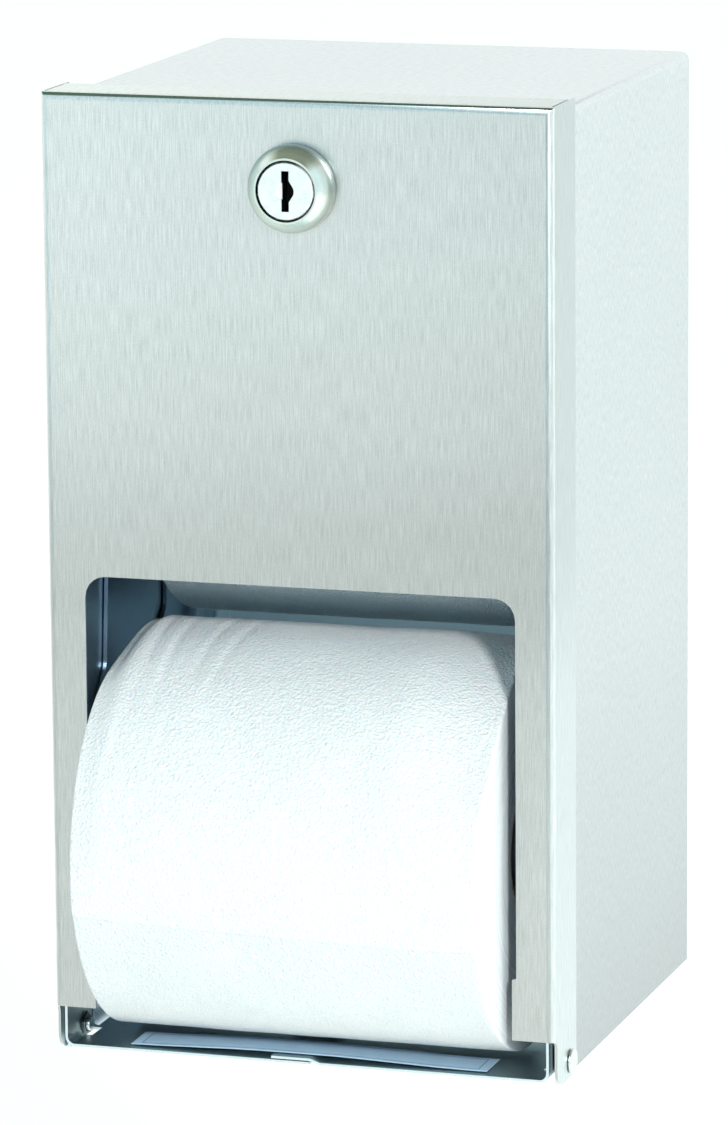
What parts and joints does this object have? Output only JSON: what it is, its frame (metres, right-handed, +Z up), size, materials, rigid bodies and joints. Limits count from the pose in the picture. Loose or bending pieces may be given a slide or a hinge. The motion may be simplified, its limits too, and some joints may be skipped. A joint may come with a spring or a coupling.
{
  "type": "toilet roll dispenser",
  "caption": "Wall-hung toilet roll dispenser in brushed steel, with a hinged locking door, an open paper window and a reserve roll above the roll in use.",
  "frame": {"origin": "middle of the wall face, on the back plate's rear", "axes": "+Z up, the front faces -Y, +X to the right as seen from the front"},
  "size_m": [0.1564, 0.1865, 0.287],
  "materials": {
    "door_steel": "satin, vertical grain",
    "cabinet_steel": "satin",
    "inner_steel": "satin",
    "mechanism_steel": "plain",
    "chrome": "polished",
    "plug_metal": "satin",
    "paper": "embossed tissue",
    "cardboard": "matt",
    "spindle_plastic": "matt",
    "sticker": "matt film"
  },
  "bodies": {
    "cabinet": {"cabinet_shell": "cabinet_steel", "back_plate": "inner_steel", "bottom_bracket_left": "inner_steel", "bottom_bracket_right": "inner_steel", "tray_sticker": "sticker", "track_plate_left": "inner_steel", "track_plate_right": "inner_steel", "pivot_rivet_left": "chrome", "pivot_rivet_right": "chrome", "push_nut_left": "mechanism_steel", "push_nut_right": "mechanism_steel", "lever_rivet_left": "mechanism_steel", "lever_rivet_right": "mechanism_steel", "latch_rivet_left": "mechanism_steel", "latch_rivet_right": "mechanism_steel"},
    "door": {"door_panel": "door_steel", "lock_body": "chrome", "lock_nut": "mechanism_steel"},
    "lock": {"lock_plug": "plug_metal", "lock_cam": "mechanism_steel", "cam_screw": "mechanism_steel"},
    "lower_roll_set": {"lower_axle": "mechanism_steel", "lower_spindle": "spindle_plastic", "lower_core": "cardboard", "lower_roll": "paper"},
    "upper_roll_set": {"upper_axle": "mechanism_steel", "upper_spindle": "spindle_plastic", "upper_core": "cardboard", "upper_roll": "paper"},
    "lever_left": {"release_lever_left": "mechanism_steel"},
    "lever_right": {"release_lever_right": "mechanism_steel"},
    "link_left": {"release_link_left": "mechanism_steel"},
    "link_right": {"release_link_right": "mechanism_steel"},
    "latch_left": {"reserve_latch_left": "mechanism_steel"},
    "latch_right": {"reserve_latch_right": "mechanism_steel"}
  },
  "joints": [
    {"name": "door_hinge", "type": "hinge", "parent": "cabinet", "child": "door", "pos_m": [0, -0.139, -0.1372], "axis": [1, 0, 0], "range_deg": [0, 100]},
    {"name": "lock_turn", "type": "hinge", "parent": "door", "child": "lock", "pos_m": [0, -0.156, 0.1197], "axis": [0, -1, 0], "range_deg": [0, 90]},
    {"name": "lower_roll_spin", "type": "hinge", "parent": "cabinet", "child": "lower_roll_set", "pos_m": [0, -0.125, -0.0765], "axis": [1, 0, 0], "continuous": true},
    {"name": "upper_roll_spin", "type": "hinge", "parent": "cabinet", "child": "upper_roll_set", "pos_m": [0, -0.066, 0.04158], "axis": [1, 0, 0], "continuous": true},
    {"name": "release_left", "type": "hinge", "parent": "cabinet", "child": "lever_left", "pos_m": [-0.0725, -0.0785, -0.091], "axis": [1, 0, 0], "range_deg": [0, 26]},
    {"name": "release_right", "type": "hinge", "parent": "cabinet", "child": "lever_right", "pos_m": [0.0725, -0.0785, -0.091], "axis": [1, 0, 0], "range_deg": [0, 26]},
    {"name": "link_pivot_left", "type": "hinge", "parent": "lever_left", "child": "link_left", "pos_m": [-0.071, -0.04732, -0.0982], "axis": [1, 0, 0], "range_deg": [-26, 0]},
    {"name": "link_pivot_right", "type": "hinge", "parent": "lever_right", "child": "link_right", "pos_m": [0.071, -0.04732, -0.0982], "axis": [1, 0, 0], "range_deg": [-26, 0]},
    {"name": "latch_left_pivot", "type": "hinge", "parent": "cabinet", "child": "latch_left", "pos_m": [-0.0725, -0.043, 0.03358], "axis": [1, 0, 0], "range_deg": [0, 58]},
    {"name": "latch_right_pivot", "type": "hinge", "parent": "cabinet", "child": "latch_right", "pos_m": [0.0725, -0.043, 0.03358], "axis": [1, 0, 0], "range_deg": [0, 58]}
  ],
  "couplings": [
    {"joint": "release_right", "follows": "release_left", "ratio": 1},
    {"joint": "link_pivot_left", "follows": "release_left", "ratio": -1},
    {"joint": "link_pivot_right", "follows": "release_left", "ratio": -1},
    {"joint": "latch_left_pivot", "follows": "release_left", "ratio": 2.2308},
    {"joint": "latch_right_pivot", "follows": "release_left", "ratio": 2.2308}
  ]
}
